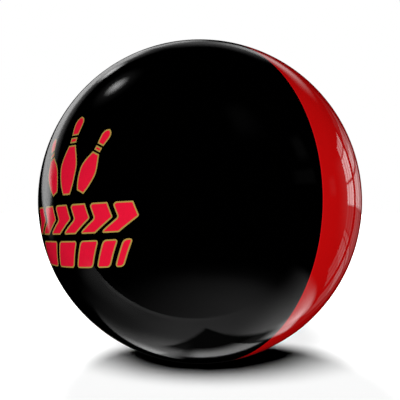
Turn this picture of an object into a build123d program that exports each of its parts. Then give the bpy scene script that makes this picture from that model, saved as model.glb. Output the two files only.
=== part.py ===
from build123d import *
import math
import os

# An undrilled bowling ball of the printed-film kind, in millimetres.
# A cast core is closed between two printed half shells and a clear cover is cast around them.
# The origin is the ball's centre. +Z points up through the locator pin, the front half shell
# faces -Y and the rear half shell faces +Y, so they meet in the XZ plane.

# Driving dimensions
BALL_DIAMETER = 217.1  # midway between the 215.9 and 218.3 that the sport's rules allow
COVER_WALL = 7.0  # clear cover, outside the printed film
FILM_THICKNESS = 0.8  # printed sheet, formed into half shells
BLOCK_DIAMETER = 104.0  # pancake weight block, before its rims are rounded
BLOCK_THICKNESS = 30.0
BLOCK_DEPTH = 42.0  # from the top of the ball down to the top of the block
BLOCK_EDGE_RADIUS = 9.0
BLOCK_DRAFT_ANGLE = 6.0  # degrees, so that the block leaves its own mould
SOCKET_DEPTH = 10.0  # how far the core pin reaches into the block
CORE_PIN_DIAMETER = 12.0
LOCATOR_PIN_DIAMETER = 10.0
CENTRE_MARK_DIAMETER = 3.0  # paint-filled dimple that marks the centre of gravity
CENTRE_MARK_DEPTH = 1.2
CENTRE_MARK_DISTANCE = 25.0  # along the surface, from the locator pin towards the rear

# Sizes that follow from them
BALL_RADIUS = BALL_DIAMETER / 2
FILM_OUTER_RADIUS = BALL_RADIUS - COVER_WALL
CORE_RADIUS = FILM_OUTER_RADIUS - FILM_THICKNESS
BLOCK_TOP = BALL_RADIUS - BLOCK_DEPTH
BLOCK_BOTTOM = BLOCK_TOP - BLOCK_THICKNESS
CORE_PIN_FOOT = BLOCK_TOP - SOCKET_DEPTH
CENTRE_MARK_ANGLE = math.degrees(CENTRE_MARK_DISTANCE / BALL_RADIUS)


def upright_pin(diameter, foot, top):
    """A round pin on the ball's vertical axis, between two heights."""
    return Pos(0, 0, foot) * Cylinder(
        diameter / 2, top - foot, align=(Align.CENTER, Align.CENTER, Align.MIN)
    )


def spherical_shell(outer_radius, inner_radius):
    return Sphere(outer_radius) - Sphere(inner_radius)


def half_space(side):
    """A box that holds everything on one side of the seam: -1 is the front, +1 is the rear."""
    size = 2 * BALL_DIAMETER
    return Pos(0, side * size / 2, 0) * Box(size, size, size)


def half_film(side):
    """One formed half of the printed film, cut square where the two halves meet."""
    return spherical_shell(FILM_OUTER_RADIUS, CORE_RADIUS) & half_space(side)


def weight_block_blank():
    """The pancake block before its pin socket: a drafted disc with rounded rims."""
    inset = BLOCK_THICKNESS * math.tan(math.radians(BLOCK_DRAFT_ANGLE))
    half_width = BLOCK_DIAMETER / 2
    corners = [
        (0, BLOCK_BOTTOM),
        (half_width, BLOCK_BOTTOM),
        (half_width - inset, BLOCK_TOP),
        (0, BLOCK_TOP),
    ]
    outline = Plane.XZ * make_face(Polyline(corners, close=True))
    disc = revolve(outline, Axis.Z)
    rims = disc.edges().filter_by(GeomType.CIRCLE)
    return fillet(rims, BLOCK_EDGE_RADIUS)


def core_pin():
    """The post that held the block in the core mould, trimmed to the core's surface."""
    return upright_pin(CORE_PIN_DIAMETER, CORE_PIN_FOOT, BALL_RADIUS) & Sphere(CORE_RADIUS)


def weight_block():
    return weight_block_blank() - upright_pin(CORE_PIN_DIAMETER, CORE_PIN_FOOT, BALL_RADIUS)


def inner_core():
    """The filler cast around the block and its pin."""
    pin_hole = upright_pin(CORE_PIN_DIAMETER, CORE_PIN_FOOT, BALL_RADIUS)
    return Sphere(CORE_RADIUS) - weight_block_blank() - pin_hole


def locator_pin():
    """The coloured plug in the cover above the block, finished flush with the ball."""
    rod = upright_pin(LOCATOR_PIN_DIAMETER, BLOCK_TOP, BALL_DIAMETER)
    return rod & spherical_shell(BALL_RADIUS, FILM_OUTER_RADIUS)


def centre_mark():
    """The paint in its shallow dimple, behind the locator pin and flush with the ball."""
    place = Rot(-CENTRE_MARK_ANGLE, 0, 0)
    paint = place * upright_pin(
        CENTRE_MARK_DIAMETER, BALL_RADIUS - CENTRE_MARK_DEPTH, BALL_DIAMETER
    )
    return paint & Sphere(BALL_RADIUS)


def clear_coverstock():
    """The clear cover, with the hole of the locator pin and the dimple of the centre mark."""
    cover = spherical_shell(BALL_RADIUS, FILM_OUTER_RADIUS)
    return cover - locator_pin() - centre_mark()


NODES = {
    "clear_coverstock": clear_coverstock,
    "locator_pin": locator_pin,
    "centre_of_gravity_mark": centre_mark,
    "front_printed_film": lambda: half_film(-1),
    "rear_printed_film": lambda: half_film(+1),
    "inner_core": inner_core,
    "core_pin": core_pin,
    "weight_block": weight_block,
}

os.makedirs("parts", exist_ok=True)
for name, build in NODES.items():
    export_step(build(), f"parts/{name}.step")
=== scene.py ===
"""The looks of an undrilled bowling ball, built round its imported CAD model.

In metres, +Z up, with the ball's centre at the origin and its black front half towards -Y. A clear
cover is seen right through to two halves of printed film, so the films and the artwork are pieces
inside real glass.
"""

import math

import bmesh
import bpy
from mathutils import Matrix, Vector


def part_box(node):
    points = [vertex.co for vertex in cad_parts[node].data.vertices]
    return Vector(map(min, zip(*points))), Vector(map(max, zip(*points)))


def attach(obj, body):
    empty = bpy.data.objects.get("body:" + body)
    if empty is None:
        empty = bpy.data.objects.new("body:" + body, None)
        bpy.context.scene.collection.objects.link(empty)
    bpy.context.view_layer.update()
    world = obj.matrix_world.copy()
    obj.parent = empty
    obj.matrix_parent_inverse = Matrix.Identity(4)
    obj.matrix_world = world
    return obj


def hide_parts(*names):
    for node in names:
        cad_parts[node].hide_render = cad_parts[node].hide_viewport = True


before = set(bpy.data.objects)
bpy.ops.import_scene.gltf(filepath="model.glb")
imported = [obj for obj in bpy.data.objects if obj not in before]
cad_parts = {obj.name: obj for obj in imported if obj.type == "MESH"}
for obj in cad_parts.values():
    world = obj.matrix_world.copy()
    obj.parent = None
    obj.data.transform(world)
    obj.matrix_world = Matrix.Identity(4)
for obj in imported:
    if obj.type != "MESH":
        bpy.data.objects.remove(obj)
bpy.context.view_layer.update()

MM = 0.001
TINY = 0.0001 * MM  # anything closer than this touches
WHITE = (1.0, 1.0, 1.0, 1.0)

# ---------------------------------------------------------------- sizes, from the frame

BALL_RADIUS = -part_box("clear_coverstock")[0].z
FILM_RADIUS = -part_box("front_printed_film")[0].z
CORE_RADIUS = -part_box("inner_core")[0].z
PIN_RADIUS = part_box("locator_pin")[1].x
MARK_LOW, MARK_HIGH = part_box("centre_of_gravity_mark")
MARK_RADIUS = MARK_HIGH.x
MARK_CENTRE = (MARK_LOW + MARK_HIGH) / 2

# ---------------------------------------------------------------- camera

CAMERA_AZIMUTH = math.radians(49.4)  # from -Y towards +X
CAMERA_ELEVATION = math.radians(-1.0)
CAMERA_DISTANCE = 3.69 * BALL_RADIUS
BALL_SHARE = 0.8107  # of the frame's width
BALL_DROP = 0.0035  # of the frame's width, below its middle

TOWARDS_CAMERA = Vector(
    (
        math.sin(CAMERA_AZIMUTH) * math.cos(CAMERA_ELEVATION),
        -math.cos(CAMERA_AZIMUTH) * math.cos(CAMERA_ELEVATION),
        math.sin(CAMERA_ELEVATION),
    )
)


def make_camera():
    data = bpy.data.cameras.new("camera")
    half_angle = math.asin(BALL_RADIUS / CAMERA_DISTANCE)
    data.lens = data.sensor_width * BALL_SHARE / 2 / math.tan(half_angle)
    data.shift_y = BALL_DROP
    data.clip_start = 0.01
    data.clip_end = 100
    camera = bpy.data.objects.new("camera", data)
    camera.location = TOWARDS_CAMERA * CAMERA_DISTANCE
    camera.rotation_euler = (-TOWARDS_CAMERA).to_track_quat("-Z", "Y").to_euler()
    bpy.context.scene.collection.objects.link(camera)
    bpy.context.scene.camera = camera


# ---------------------------------------------------------------- shader node helpers


def new_material(name):
    material = bpy.data.materials.new(name)
    material.use_nodes = True
    return material, material.node_tree


def set_inputs(tree, node, inputs):
    """Sets a node's inputs by name or place: a socket is linked to, anything else is a value."""
    for key, value in dict(inputs).items():
        if isinstance(value, bpy.types.NodeSocket):
            tree.links.new(value, node.inputs[key])
        else:
            node.inputs[key].default_value = value


def add(tree, kind, inputs=(), **settings):
    """A new node with its settings and inputs."""
    node = tree.nodes.new(kind)
    for key, value in settings.items():
        setattr(node, key, value)
    set_inputs(tree, node, inputs)
    return node


def calculate(tree, operation, *values, clamp=False):
    node = add(tree, "ShaderNodeMath", enumerate(values), operation=operation, use_clamp=clamp)
    return node.outputs[0]


def place_on_piece(tree):
    return add(tree, "ShaderNodeTexCoord").outputs["Object"]


def noise(tree, scale, detail=3.0, roughness=0.5):
    """Noise fixed to the piece. Scale is in features per metre."""
    inputs = {
        "Vector": place_on_piece(tree),
        "Scale": scale,
        "Detail": detail,
        "Roughness": roughness,
    }
    return add(tree, "ShaderNodeTexNoise", inputs).outputs["Fac"]


def bump(tree, strength, distance, height):
    inputs = {"Strength": strength, "Distance": distance, "Height": height}
    return add(tree, "ShaderNodeBump", inputs).outputs["Normal"]


def ramp(tree, value, start, end, start_result=0.0, end_result=1.0, shape="SMOOTHSTEP"):
    """Runs from one result to the other as the value goes from start to end, either way."""
    inputs = {
        "Value": value,
        "From Min": start,
        "From Max": end,
        "To Min": start_result,
        "To Max": end_result,
    }
    return add(tree, "ShaderNodeMapRange", inputs, interpolation_type=shape).outputs["Result"]


def blend_colours(tree, share, first, second):
    """Share 0 gives the first colour and 1 the second."""
    inputs = {0: share, 6: first, 7: second}  # the Mix node's places for a factor and two colours
    return add(tree, "ShaderNodeMix", inputs, data_type="RGBA").outputs[2]


def shade(colour, factor=1.0):
    """A red, green, blue colour made darker or lighter, with full alpha."""
    return tuple(channel * factor for channel in colour) + (1.0,)


# ---------------------------------------------------------------- materials

BLACK_INK = (0.00008, 0.00008, 0.0001)
RED_INK = (0.437, 0.0027, 0.003)
# a painted highlight: a brighter red along the seam, where the film's cut edge would catch the
# light
SEAM_HIGHLIGHT_RED = (0.60, 0.005, 0.007)
CRIMSON_INK = (0.82, 0.0086, 0.039)
GOLD_INK = (0.42, 0.285, 0.064)

RESIN_IOR = 1.56
SEAM_LINE = 0.3 * MM  # the painted highlight on the red is at its brightest this near the seam
SEAM_LINE_END = 0.9 * MM  # and has faded to the film's own red this far from it


def clear_resin():
    """Polished clear polyester, with the faint ripple that polishing leaves."""
    material, tree = new_material("clear_resin")
    ripple = bump(tree, 0.02, 0.2 * MM, noise(tree, 90.0))
    surface = {
        "Base Color": WHITE,
        "Roughness": 0.0,
        "IOR": RESIN_IOR,
        "Transmission Weight": 1.0,
        "Normal": ripple,
    }
    set_inputs(tree, tree.nodes["Principled BSDF"], surface)
    return material


def printed(name, colour, variation=0.08, seam_highlight_colour=None):
    """Ink on film under the cover, so it has no gloss of its own. It is mottled a little, and a
    seam colour paints a highlight along the seam.
    """
    material, tree = new_material(name)
    mottle = noise(tree, 350.0, detail=4.0)
    shown = blend_colours(
        tree, mottle, shade(colour, 1 - variation), shade(colour, 1 + variation)
    )
    # painted highlight: the red is brightened along the seam, as if its cut edge caught the light
    if seam_highlight_colour:
        across = add(tree, "ShaderNodeSeparateXYZ", {"Vector": place_on_piece(tree)}).outputs["Y"]
        distance = calculate(tree, "ABSOLUTE", across)
        highlight_share = ramp(tree, distance, SEAM_LINE_END, SEAM_LINE)
        shown = blend_colours(tree, highlight_share, shown, shade(seam_highlight_colour))
    surface = {"Base Color": shown, "Roughness": 0.6, "Specular IOR Level": 0.0}
    set_inputs(tree, tree.nodes["Principled BSDF"], surface)
    return material


def speckled(name, base, speck, scale, roughness, grain):
    """A cast or moulded filler: specks of a second colour, and a faint grain."""
    material, tree = new_material(name)
    specks = ramp(tree, noise(tree, scale, detail=6.0, roughness=0.7), 0.5, 0.62)
    surface = {
        "Base Color": blend_colours(tree, specks, shade(base), shade(speck)),
        "Roughness": roughness,
        "Normal": bump(tree, grain, 0.1 * MM, noise(tree, scale * 3)),
    }
    set_inputs(tree, tree.nodes["Principled BSDF"], surface)
    return material


# ---------------------------------------------------------------- mesh helpers


def new_piece(name, mesh, material, node=None):
    """Links a finished mesh as a piece of the ball, riding on its one body.

    The node is the CAD piece that it replaces, if it replaces one.
    """
    mesh.materials.append(material)
    piece = bpy.data.objects.new(name, mesh)
    bpy.context.scene.collection.objects.link(piece)
    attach(piece, "root")
    if node:
        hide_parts(node)
    return piece


SHARP_ANGLE = math.radians(35)


def finished_mesh(name, bm):
    """A smooth-shaded mesh with its corners left sharp. It frees the bmesh."""
    bmesh.ops.recalc_face_normals(bm, faces=bm.faces)
    mesh = bpy.data.meshes.new(name)
    bm.to_mesh(mesh)
    bm.free()
    mesh.shade_smooth()
    mesh.set_sharp_from_angle(angle=SHARP_ANGLE)
    return mesh


def arc(radius, start, end, steps):
    """Points (distance from the axis, height) on a circle about the centre.

    The start and end are angles from the pole.
    """
    turns = [start + (end - start) * step / steps for step in range(steps + 1)]
    return [(radius * math.sin(turn), radius * math.cos(turn)) for turn in turns]


def lathe(name, profile, segments, turn=Matrix.Identity(3)):
    """A closed outline of (distance from the axis, height), taken once round the axis.

    The finished shape is turned as a whole by the matrix.
    """
    bm = bmesh.new()
    rings = []
    for distance, height in profile:
        count = 1 if distance < TINY else segments
        ring = []
        for step in range(count):
            angle = math.tau * step / segments
            point = Vector((distance * math.cos(angle), distance * math.sin(angle), height))
            ring.append(bm.verts.new(turn @ point))
        rings.append(ring)
    for ring, following in zip(rings, rings[1:] + rings[:1]):
        if len(ring) == 1 and len(following) == 1:
            continue
        for step in range(segments):
            corners = [
                ring[step % len(ring)],
                ring[(step + 1) % len(ring)],
                following[(step + 1) % len(following)],
                following[step % len(following)],
            ]
            bm.faces.new(list(dict.fromkeys(corners)))
    return finished_mesh(name, bm)


# ---------------------------------------------------------------- the ball's shells

SEGMENTS = 256
RINGS = 128
OVERLAP = 0.3 * MM  # the cover's inside is sunk into the film, so no air shows between them
PIN_OVERLAP = 0.1 * MM  # the same round the locator pin


def make_cover():
    hole = PIN_RADIUS - PIN_OVERLAP
    inner_radius = FILM_RADIUS - OVERLAP
    outer_face = arc(BALL_RADIUS, math.asin(hole / BALL_RADIUS), math.pi, RINGS)
    inner_face = arc(inner_radius, math.pi, math.asin(hole / inner_radius), RINGS // 4)
    mesh = lathe("clear_cover", outer_face + inner_face, SEGMENTS)
    return new_piece("clear_cover", mesh, clear_resin(), node="clear_coverstock")


def make_film_half(name, side, material, node):
    """Half the film, its pole on the Y axis: side -1 is the front, +1 the rear."""
    rim = 0.15 * MM  # chamfer where the two halves meet
    outer_face = arc(FILM_RADIUS, 0, math.pi / 2 - rim / FILM_RADIUS, RINGS // 2)
    inner_face = arc(CORE_RADIUS, math.pi / 2, 0, RINGS // 4)
    profile = outer_face + [(FILM_RADIUS - rim, 0.0)] + inner_face
    lay_down = Matrix.Rotation(-side * math.pi / 2, 3, "X")
    mesh = lathe(name, profile, SEGMENTS, lay_down)
    return new_piece(name, mesh, material, node=node)


def make_pin_top():
    """The locator pin's plug, flush with the cover and chamfered."""
    chamfer = 0.2 * MM
    flat = PIN_RADIUS - chamfer
    dome = arc(BALL_RADIUS, 0, math.asin(flat / BALL_RADIUS), steps=6)
    shoulder = BALL_RADIUS * math.cos(math.asin(PIN_RADIUS / BALL_RADIUS)) - chamfer
    foot = FILM_RADIUS - OVERLAP
    profile = dome + [(PIN_RADIUS, shoulder), (PIN_RADIUS, foot), (0.0, foot)]
    mesh = lathe("locator_plug", profile, segments=64)
    material = speckled(
        "pin_plastic",
        base=(0.80, 0.77, 0.70),
        speck=(0.72, 0.68, 0.60),
        scale=900.0,
        roughness=0.12,
        grain=0.02,
    )
    return new_piece("locator_plug", mesh, material, node="locator_pin")


def make_centre_dot():
    """Paint in a shallow dimple. Its middle stands just proud of the cover."""
    lift = 0.03 * MM
    rim = 0.25 * MM
    rim_drop = 0.05 * MM
    depth = 1.1 * MM
    top = arc(BALL_RADIUS + lift, 0, math.asin((MARK_RADIUS - rim) / BALL_RADIUS), steps=4)
    shoulder = BALL_RADIUS - rim_drop
    foot = BALL_RADIUS - depth
    profile = top + [(MARK_RADIUS, shoulder), (MARK_RADIUS, foot), (0.0, foot)]
    outward = MARK_CENTRE.to_track_quat("Z", "Y").to_matrix()
    mesh = lathe("centre_dot", profile, segments=48, turn=outward)
    material = speckled(
        "mark_paint",
        base=(0.60, 0.43, 0.15),
        speck=(0.50, 0.35, 0.10),
        scale=1500.0,
        roughness=0.35,
        grain=0.05,
    )
    return new_piece("centre_dot", mesh, material, node="centre_of_gravity_mark")


def dress_inner_pieces():
    """The sealed pieces keep their CAD shapes and get their own materials."""
    looks = {
        "inner_core": speckled(
            "core_filler",
            base=(0.42, 0.38, 0.32),
            speck=(0.52, 0.49, 0.44),
            scale=700.0,
            roughness=0.7,
            grain=0.3,
        ),
        "weight_block": speckled(
            "block_filler",
            base=(0.14, 0.16, 0.20),
            speck=(0.24, 0.26, 0.30),
            scale=900.0,
            roughness=0.5,
            grain=0.3,
        ),
        "core_pin": speckled(
            "core_pin_plastic",
            base=(0.78, 0.75, 0.68),
            speck=(0.70, 0.66, 0.58),
            scale=900.0,
            roughness=0.3,
            grain=0.1,
        ),
    }
    for node, material in looks.items():
        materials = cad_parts[node].data.materials
        materials.clear()
        materials.append(material)


# ---------------------------------------------------------------- printed artwork

BORDER = 0.8 * MM  # gold line round each red shape
CUT = 2.0 * MM  # shapes are cut this fine before they are laid on the sphere
INK_TOP = FILM_RADIUS + 0.06 * MM
INK_FOOT = FILM_RADIUS - 0.06 * MM
ART_TILT = math.radians(2.0)  # turns the whole artwork anticlockwise


def on_film(point, radius):
    """Lays a flat point (x right, y up, as seen from the front) on the front half of a sphere."""
    reach = math.hypot(point.x, point.y)
    if reach < TINY:
        return Vector((0, -radius, 0))
    angle = reach / FILM_RADIUS
    along = radius * math.sin(angle) / reach
    return Vector((point.x * along, -radius * math.cos(angle), point.y * along))


def cut_into_cells(bm):
    """Cuts flat faces along both axes, so that they can bend with the sphere."""
    for axis in (Vector((1, 0, 0)), Vector((0, 1, 0))):
        reach = [vertex.co.dot(axis) for vertex in bm.verts]
        first = math.ceil(min(reach) / CUT)
        last = math.floor(max(reach) / CUT)
        for step in range(first, last + 1):
            geometry = bm.verts[:] + bm.edges[:] + bm.faces[:]
            bmesh.ops.bisect_plane(
                bm, geom=geometry, dist=TINY, plane_co=axis * step * CUT, plane_no=axis
            )


def add_flat_part(bm, outline, part):
    """Adds an outline's "border" ring, or the "middle" inside it, cut into cells."""
    shape = bmesh.new()
    whole = shape.faces.new([shape.verts.new((x, y, 0)) for x, y in outline])
    whole.normal_update()
    ring = bmesh.ops.inset_individual(
        shape, faces=[whole], thickness=BORDER, use_even_offset=True
    )["faces"]
    unwanted = [whole] if part == "border" else ring
    bmesh.ops.delete(shape, geom=unwanted, context="FACES")
    cut_into_cells(shape)
    carrier = bpy.data.meshes.new("carrier")
    shape.to_mesh(carrier)
    shape.free()
    bm.from_mesh(carrier)
    bpy.data.meshes.remove(carrier)


def ink_mesh(name, outlines, part):
    """One part of every outline, as a thin closed layer on the film."""
    bm = bmesh.new()
    for outline in outlines:
        add_flat_part(bm, outline, part)
    bmesh.ops.triangulate(bm, faces=bm.faces[:])
    feet = bm.verts[:]
    lifted = bmesh.ops.extrude_face_region(bm, geom=bm.faces[:])["geom"]
    for vertex in feet:
        vertex.co = on_film(vertex.co, INK_FOOT)
    for item in lifted:
        if isinstance(item, bmesh.types.BMVert):
            item.co = on_film(item.co, INK_TOP)
    return finished_mesh(name, bm)


def rounded(corners, radius, steps=5):
    """An outline with every corner rounded, from its corner points in order."""
    previous = corners[-1:] + corners[:-1]
    following = corners[1:] + corners[:1]
    points = []
    for before, corner, after in zip(previous, corners, following):
        corner = Vector(corner)
        back = (Vector(before) - corner).normalized()
        ahead = (Vector(after) - corner).normalized()
        half = back.angle(ahead) / 2
        trim = radius / math.tan(half)
        centre = corner + (back + ahead).normalized() * radius / math.sin(half)
        start = corner + back * trim - centre
        turn = -start.angle_signed(corner + ahead * trim - centre)
        for step in range(steps + 1):
            spoke = Matrix.Rotation(turn * step / steps, 2) @ start
            points.append(tuple(centre + spoke))
    return points


def placed(outline, x, y, slant=0.0, turn=0.0, scale=1.0):
    """Slants, scales, turns and moves an outline, then gives it the artwork's tilt."""
    result = []
    for across, up in outline:
        point = Vector(((across + up * math.tan(slant)) * scale, up * scale))
        point.rotate(Matrix.Rotation(turn, 2))
        point += Vector((x, y))
        point.rotate(Matrix.Rotation(ART_TILT, 2))
        result.append(tuple(point))
    return result


PIN_HEIGHT = 46 * MM
PIN_PROFILE = (  # share of the height from the base, share of the widest half width
    (0.0, 0.43),
    (0.05, 0.59),
    (0.15, 0.82),
    (0.30, 1.0),
    (0.39, 0.96),
    (0.48, 0.78),
    (0.575, 0.52),
    (0.625, 0.41),
    (0.67, 0.38),
    (0.725, 0.39),
    (0.78, 0.44),
    (0.84, 0.505),
    (0.90, 0.535),
    (0.955, 0.42),
    (0.985, 0.22),
    (1.0, 0.0),
)
PIN_SLIMNESS = 0.165  # widest half width over the height
PIN_BODY = (0.0, 0.61)  # shares of the height; the gaps between them are the stripes on the neck
PIN_COLLAR = (0.64, 0.71)
PIN_HEAD = (0.74, 1.0)


def smooth_through(points, steps=4):
    """Catmull-Rom points through the given ones."""
    padded = [points[0]] + list(points) + [points[-1]]
    result = []
    for index in range(1, len(padded) - 2):
        p0, p1, p2, p3 = (Vector(padded[index + offset]) for offset in (-1, 0, 1, 2))
        for step in range(steps):
            t = step / steps
            point = 0.5 * (
                2 * p1
                + (p2 - p0) * t
                + (2 * p0 - 5 * p1 + 4 * p2 - p3) * t**2
                + (3 * p1 - p0 - 3 * p2 + p3) * t**3
            )
            result.append(tuple(point))
    result.append(tuple(points[-1]))
    return result


def width_at(curve, height):
    """Half the width of a curve of (height, half width) points, in shares."""
    for (low, start), (high, end) in zip(curve, curve[1:]):
        if low <= height <= high:
            return start + (end - start) * (height - low) / (high - low)
    return 0.0


def pin_slice(low, high):
    """The outline of a bowling pin that stands on the origin, between two shares of its height."""
    curve = smooth_through(PIN_PROFILE)
    heights = [low] + [height for height, _ in curve if low < height < high] + [high]
    side = [
        (width_at(curve, height) * PIN_SLIMNESS * PIN_HEIGHT, height * PIN_HEIGHT)
        for height in heights
    ]
    return list(dict.fromkeys(side + [(-x, y) for x, y in reversed(side)]))


def emblem_outlines():
    """Three pins in a fan: the generic mark of the sport."""
    poses = (
        dict(x=6 * MM, y=2 * MM),
        dict(x=-6 * MM, y=3 * MM, turn=math.radians(24), scale=0.82),
        dict(x=18 * MM, y=3 * MM, turn=math.radians(-24), scale=0.82),
    )
    return [
        placed(pin_slice(*part), **pose)
        for pose in poses
        for part in (PIN_BODY, PIN_COLLAR, PIN_HEAD)
    ]


SLANT = math.radians(32)
ROW_GAP = 3 * MM  # between the shapes of a row
ARROW_WIDTHS = [12.5 * MM] * 6  # of each arrowhead's two arms
ARROW_POINT = 8 * MM  # how far an arrowhead's tip reaches into the notch of the next
ARROW_HEIGHT = 16.5 * MM
ARROW_ROUNDING = 1.2 * MM
BAR_WIDTHS = [width * MM for width in (24, 18, 14, 10, 6)]
BAR_HEIGHT = 15.8 * MM
BAR_ROUNDING = 2.2 * MM


def arrowhead(width, height):
    """A broad arrowhead that points right."""
    half = height / 2
    corners = [
        (0, -half),
        (width, -half),
        (width + ARROW_POINT, 0),
        (width, half),
        (0, half),
        (ARROW_POINT, 0),
    ]
    return rounded(corners, ARROW_ROUNDING)


def bar(width, height):
    half = height / 2
    corners = [(0, -half), (width, -half), (width, half), (0, half)]
    return rounded(corners, BAR_ROUNDING)


def row_outlines(shape, widths, height, left, middle):
    """A row of slanted shapes, from its left end and at the height of its middle."""
    outlines = []
    x = left
    for width in widths:
        outlines.append(placed(shape(width, height), x, middle, slant=SLANT))
        x += width + ROW_GAP
    return outlines


def make_artwork():
    arrows = row_outlines(
        arrowhead, ARROW_WIDTHS, ARROW_HEIGHT, left=-42.5 * MM, middle=-11.4 * MM
    )
    bars = row_outlines(bar, BAR_WIDTHS, BAR_HEIGHT, left=-38.5 * MM, middle=-31.2 * MM)
    motifs = {"emblem": emblem_outlines(), "arrow_row": arrows, "bar_row": bars}
    inks = {
        "middle": printed("crimson_ink", CRIMSON_INK),
        "border": printed("gold_ink", GOLD_INK),
    }
    pieces = []
    for motif, outlines in motifs.items():
        for part, ink in inks.items():
            name = f"{motif}_{part}"
            mesh = ink_mesh(name, outlines, part)
            pieces.append(new_piece(name, mesh, ink))
    return pieces


# ---------------------------------------------------------------- stage and lamps

FLOOR_SIZE = 40.0
FLOOR_COLOUR = (0.95, 0.95, 0.95)


def make_floor():
    """A plain pale floor. The cover's gloss shows the studio's own floor instead."""
    bm = bmesh.new()
    bmesh.ops.create_grid(bm, x_segments=8, y_segments=8, size=FLOOR_SIZE / 2)
    mesh = bpy.data.meshes.new("floor")
    bm.to_mesh(mesh)
    bm.free()
    material, tree = new_material("pale_floor")
    tree.nodes.clear()
    surface = add(tree, "ShaderNodeBsdfDiffuse", {"Color": shade(FLOOR_COLOUR)})
    add(tree, "ShaderNodeOutputMaterial", {"Surface": surface.outputs[0]})
    mesh.materials.append(material)
    floor = bpy.data.objects.new("floor", mesh)
    floor.location.z = -BALL_RADIUS
    floor.visible_glossy = False
    floor.visible_diffuse = False
    bpy.context.scene.collection.objects.link(floor)
    return floor


def studio_direction(azimuth, elevation):
    """A direction in the world. Azimuth 0 is towards the camera's place and 90 to its right."""
    towards = Vector((math.sin(CAMERA_AZIMUTH), -math.cos(CAMERA_AZIMUTH), 0))
    right = Vector((math.cos(CAMERA_AZIMUTH), math.sin(CAMERA_AZIMUTH), 0))
    turn = math.radians(azimuth)
    lift = math.radians(elevation)
    level = towards * math.cos(turn) + right * math.sin(turn)
    return level * math.cos(lift) + Vector((0, 0, math.sin(lift)))


def make_lamp(name, lit, blocked_by, azimuth, elevation, spread, level):
    """A soft lamp far away, spread in degrees across, that lights only some of the objects."""
    data = bpy.data.lights.new(name, "SUN")
    data.angle = math.radians(spread)
    data.energy = math.pi * level
    lamp = bpy.data.objects.new(name, data)
    lamp.rotation_euler = studio_direction(azimuth, elevation).to_track_quat("Z", "Y").to_euler()
    lamp.visible_glossy = False
    lamp.light_linking.receiver_collection = lit
    lamp.light_linking.blocker_collection = blocked_by
    bpy.context.scene.collection.objects.link(lamp)


def group_of(name, objects):
    group = bpy.data.collections.new(name)
    for item in objects:
        group.objects.link(item)
    return group


def make_lamps(floor, cover, inside):
    """Two lamps overexpose the floor, two wrap the ball in an even light and one is behind it.

    The ball's own lamps pass through its cover and the floor. Nothing throws coloured light on
    anything else, so the shadow stays a neutral grey.
    """
    stage = group_of("stage", [floor])
    ball = group_of("ball", [cover, *inside])
    printed_ball = group_of("printed_ball", inside)
    floor_lamps = {
        "floor_front": dict(azimuth=-12, elevation=46, spread=38, level=1.4),
        "floor_back": dict(azimuth=192, elevation=52, spread=21, level=1.15),
    }
    ball_lamps = {
        "ball_front": dict(azimuth=30, elevation=-8, spread=178, level=1.16),
        "ball_back": dict(azimuth=210, elevation=8, spread=178, level=0.35),
        "ball_behind": dict(azimuth=180, elevation=1, spread=30, level=0.6),
    }
    for name, light in floor_lamps.items():
        make_lamp(name, stage, ball, **light)
    for name, light in ball_lamps.items():
        make_lamp(name, printed_ball, printed_ball, **light)
    for item in (cover, *inside, *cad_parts.values()):
        item.visible_diffuse = False


# ---------------------------------------------------------------- what the gloss shows


def component(sky, axis):
    """How far the direction of the sky points along an axis."""
    inputs = {0: sky.direction, 1: tuple(axis)}
    return add(sky.tree, "ShaderNodeVectorMath", inputs, operation="DOT_PRODUCT").outputs["Value"]


def product(tree, *values):
    result = values[0]
    for value in values[1:]:
        result = calculate(tree, "MULTIPLY", result, value)
    return result


def total(tree, values):
    result = values[0]
    for value in values[1:]:
        result = calculate(tree, "ADD", result, value)
    return result


def complement(tree, value):
    return calculate(tree, "SUBTRACT", 1.0, value)


def in_degrees(tree, inverse, *values):
    """The angle of an inverse function such as ARCSINE."""
    return calculate(tree, "DEGREES", calculate(tree, inverse, *values))


def between(tree, value, low, high, low_fade=0.5, high_fade=0.5):
    """1 from low to high. Each end fades over twice its own width."""
    rise = ramp(tree, value, low - low_fade, low + low_fade)
    fall = ramp(tree, value, high + high_fade, high - high_fade)
    return product(tree, rise, fall)


def at_bearing(bearing, height):
    return studio_direction(180 - bearing, height)


class Sky:
    """Every direction in the gloss, with its bearing and height in degrees.

    Bearing 0 is straight behind the ball as the camera sees it, and bearings grow towards the
    camera's right.
    """

    def __init__(self, tree):
        self.tree = tree
        self.direction = add(tree, "ShaderNodeTexCoord").outputs["Generated"]
        sideways = component(self, at_bearing(90, 0))
        away = component(self, at_bearing(0, 0))
        upwards = component(self, (0, 0, 1))
        self.bearing = in_degrees(tree, "ARCTAN2", sideways, away)
        self.height = in_degrees(tree, "ARCSINE", upwards)


def spot(sky, bearing, height, reach, brightness):
    """A soft round lamp that fades out at its reach, in degrees from its middle."""
    off_centre = in_degrees(sky.tree, "ARCCOSINE", component(sky, at_bearing(bearing, height)))
    return product(sky.tree, ramp(sky.tree, off_centre, reach, 0.0), brightness)


def strip(sky, start, end, thickness, fade, start_brightness, end_brightness):
    """A straight strip light between two (bearing, height) places."""
    tree = sky.tree
    first = at_bearing(*start)
    last = at_bearing(*end)
    middle = (first + last).normalized()
    across = first.cross(last).normalized()
    along = across.cross(middle).normalized()
    half_length = math.degrees(first.angle(last)) / 2
    turn = in_degrees(tree, "ARCTAN2", component(sky, along), component(sky, middle))
    offset = in_degrees(tree, "ARCSINE", component(sky, across))
    brightness = ramp(
        tree, turn, -half_length, half_length, start_brightness, end_brightness, shape="LINEAR"
    )
    lengthwise = between(tree, turn, -half_length, half_length, fade, fade)
    sideways = between(tree, offset, -thickness / 2, thickness / 2, fade, fade)
    return product(tree, lengthwise, sideways, brightness)


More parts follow.
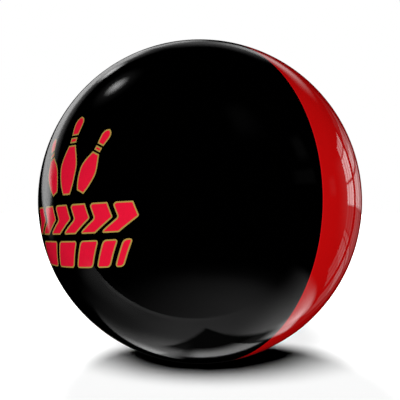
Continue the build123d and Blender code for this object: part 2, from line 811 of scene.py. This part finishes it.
def glow(sky, across, upright, brightness):
    """A soft patch. across and upright are (low, low fade, high, high fade), in degrees."""
    left, left_fade, right, right_fade = across
    foot, foot_fade, top, top_fade = upright
    wide = between(sky.tree, sky.bearing, left, right, left_fade, right_fade)
    tall = between(sky.tree, sky.height, foot, top, foot_fade, top_fade)
    return product(sky.tree, wide, tall, brightness)


def glows(sky, patches):
    return total(sky.tree, [glow(sky, *patch) for patch in patches])


def overhead_strips(sky):
    """The long strip light that climbs behind the ball on the left and runs level on the right."""
    joins_and_level_part = (
        ((-12, 3, 0, 4), (27, 2.5, 35, 2.5), 0.46),
        ((-11, 3, -2, 4), (31, 3, 39, 3), 0.2),
        ((7, 11, 35, 13), (32.2, 3, 38.7, 3.3), 0.8),
        ((-8, 6, 22, 9), (38, 3, 45, 6), 0.15),
        ((-16, 4, 6, 4), (-14, 6, 18, 4), 0.12),
    )
    return total(
        sky.tree,
        [
            strip(sky, (-56, -2.2), (-12, 31), 14.2, 2.4, 1.02, 0.62),
            strip(sky, (-54, 6.5), (-10, 38), 13, 5.0, 0.38, 0.08),
            glows(sky, joins_and_level_part),
        ],
    )


def round_lamps(sky):
    """Two lamps high on the left, the haze round the brighter one, and a faint one low down."""
    return total(
        sky.tree,
        [
            spot(sky, -58, 49.6, 6.5, 2.2),
            spot(sky, -58, 49.6, 13, 0.08),
            spot(sky, -28, 35, 5.5, 1.6),
            spot(sky, -53, -1, 12, 0.3),
        ],
    )


PANE_COLUMNS = (  # bearings, and the brightness of each row of panes
    ((50.0, 61.8), (1.1, 2.0, 1.9, 1.9, 0.15, 0.4, 0.42, 0.22)),
    ((36.3, 46.2), (0.04, 0.45, 1.1, 1.1, 0.2, 0.4, 0.42, 0.16)),
    ((29.5, 35.7), (0.02, 0.12, 0.34, 0.56, 0.12, 0.06, 0.05, 0.02)),
)
PANE_ROWS = (  # heights at the nearest bearing, from the top down
    (15.4, 19.2),
    (10.7, 14.6),
    (6.9, 10.7),
    (-0.6, 6.0),
    (-8.6, -0.9),
    (-11.2, -9.2),
    (-17.5, -11.9),
    (-24.5, -17.5),
)
NEAREST_BEARING = 62.0
WINDOW_SLOPE = 0.0098  # how much taller the window looks for each degree further behind the ball
CURTAIN_PITCH = 4.0  # bearing between the folds of its curtains
CURTAIN_LEVEL = 0.85  # how much light the curtains let through, and how much their folds vary it
CURTAIN_CONTRAST = 0.28


def window_panes(sky):
    """Two tall windows on the right, their panes told apart by thin bars and curtain folds."""
    tree = sky.tree
    growth = calculate(
        tree, "MULTIPLY_ADD", sky.bearing, WINDOW_SLOPE, 1.0 - WINDOW_SLOPE * NEAREST_BEARING
    )
    level = product(tree, sky.height, growth)
    rows = [between(tree, level, low, high) for low, high in PANE_ROWS]
    columns = []
    for (low, high), brightnesses in PANE_COLUMNS:
        lit_rows = [product(tree, row, value) for row, value in zip(rows, brightnesses)]
        columns.append(product(tree, total(tree, lit_rows), between(tree, sky.bearing, low, high)))
    turns = calculate(tree, "MULTIPLY", sky.bearing, math.tau / CURTAIN_PITCH)
    folds = calculate(tree, "COSINE", turns)
    curtain = calculate(tree, "MULTIPLY_ADD", folds, CURTAIN_CONTRAST, CURTAIN_LEVEL)
    return product(tree, total(tree, columns), curtain)


def beside_window(sky):
    """Daylight on the curtain's edge and on the wall past it."""
    patches = (
        ((61, 2, 66, 10), (-8, 10, 15, 3), 0.14),
        ((77, 2, 83, 3), (3, 2, 10, 2), 0.06),
    )
    return glows(sky, patches)


WEDGE_SLANT = 0.523  # tangent of the angle between the wedge's left edge and straight ahead
SHADOW_TILT = 0.076  # tangent of the angle between the shadow's edge and the line across
SHADOW_DEPTH = 0.4  # share of the light that the shadow takes straight ahead
SHADOW_GROWTH = 0.8  # how much more it takes at the far left, and less at the far right
RIM_BRIGHTNESS = 0.14


def unlit_wedge(sky):
    """How unlit the floor is in the wedge behind the ball: its left edge slants."""
    wedge = glow(sky, (-60, 1, 40.5, 5), (-91, 1, -55, 5), 0.93)
    past_edge = component(sky, at_bearing(90, 0) + at_bearing(0, 8) * WEDGE_SLANT)
    return product(sky.tree, wedge, ramp(sky.tree, past_edge, -0.025, 0.03))


def lit_floor(sky):
    """The studio's dark floor, with the wedge that no light reaches, and window light on it."""
    general = (
        ((45, 8, 181, 1), (-72, 8, -51, 6), 0.07),
        ((-181, 1, -95, 8), (-70, 8, -50, 6), 0.07),
        ((-33, 20, -8, 4), (-66, 9, -36.5, 1.5), 0.42),
        ((-24, 7, -12.5, 1.5), (-45, 5, -37, 2.5), 0.6),
    )
    from_window = (
        ((42, 3.5, 75, 33), (-60, 13, -34.5, 3), 0.56),
        ((40, 3, 58, 12), (-43, 5, -33, 1.7), 0.7),
        ((30, 3, 45, 8), (-47, 5, -36.5, 2), 1.3),
        ((-4, 5, 26, 1.5), (-57, 6, -45, 2), 0.75),
        ((-98, 4, -77, 15), (-58, 10, -29, 4), 0.18),
        ((-72, 10, -46, 8), (-52, 8, -36, 8), 0.035),
    )
    below = ramp(sky.tree, sky.height, -38.0, -86.0, 0.0, 0.28)
    base = total(sky.tree, [below, glows(sky, general)])
    base = product(sky.tree, base, complement(sky.tree, unlit_wedge(sky)))
    return total(sky.tree, [base, glows(sky, from_window)])


def studio_floor(sky):
    """The lit floor under a curved shadow, which is deepest on the left and has a bright rim."""
    tree = sky.tree
    past_edge = component(sky, at_bearing(180, 6) - at_bearing(90, 0) * SHADOW_TILT)
    leftwards = component(sky, at_bearing(-90, 0))
    depth = calculate(tree, "MULTIPLY_ADD", leftwards, SHADOW_GROWTH, SHADOW_DEPTH, clamp=True)
    beside_edge = between(tree, past_edge, -0.05, -0.01, 0.03, 0.006)
    rim = product(tree, beside_edge, depth, RIM_BRIGHTNESS)
    low_rim = product(tree, rim, ramp(tree, sky.height, -36.0, -42.0))
    shadow = product(tree, ramp(tree, past_edge, -0.006, 0.006), depth)
    light = total(tree, [lit_floor(sky), low_rim])
    return product(tree, light, complement(tree, shadow))


def far_wall(sky):
    """Faint light from three things on the wall behind the camera."""
    patches = (
        ((130, 10, 150, 6), (42, 8, 60, 6), 0.022),
        ((98, 3, 107, 3), (22, 3, 33, 3), 0.028),
        ((97, 2, 114, 4), (9, 1.5, 16, 1.5), 0.022),
    )
    return glows(sky, patches)


def make_world():
    """White behind the ball, and a studio that only the gloss shows."""
    world = bpy.data.worlds.new("studio")
    world.use_nodes = True
    bpy.context.scene.world = world
    tree = world.node_tree
    tree.nodes.clear()
    sky = Sky(tree)
    parts = (overhead_strips, round_lamps, far_wall, window_panes, beside_window, studio_floor)
    in_gloss = total(tree, [part(sky) for part in parts])
    ray = add(tree, "ShaderNodeLightPath").outputs
    strength = calculate(
        tree, "MULTIPLY_ADD", in_gloss, ray["Is Glossy Ray"], ray["Is Camera Ray"]
    )
    background = add(tree, "ShaderNodeBackground", {"Color": WHITE, "Strength": strength})
    add(tree, "ShaderNodeOutputWorld", {"Surface": background.outputs[0]})


# ---------------------------------------------------------------- build

bpy.context.scene.view_settings.view_transform = "Standard"
make_camera()
make_world()
cover = make_cover()
black_film = printed("black_film", BLACK_INK)
# the red film carries a painted highlight along its seam
red_film = printed("red_film", RED_INK, variation=0.04, seam_highlight_colour=SEAM_HIGHLIGHT_RED)
inside = [
    make_film_half("front_film", -1, black_film, node="front_printed_film"),
    make_film_half("rear_film", 1, red_film, node="rear_printed_film"),
    make_pin_top(),
    make_centre_dot(),
    *make_artwork(),
]
dress_inner_pieces()
make_lamps(make_floor(), cover, inside)
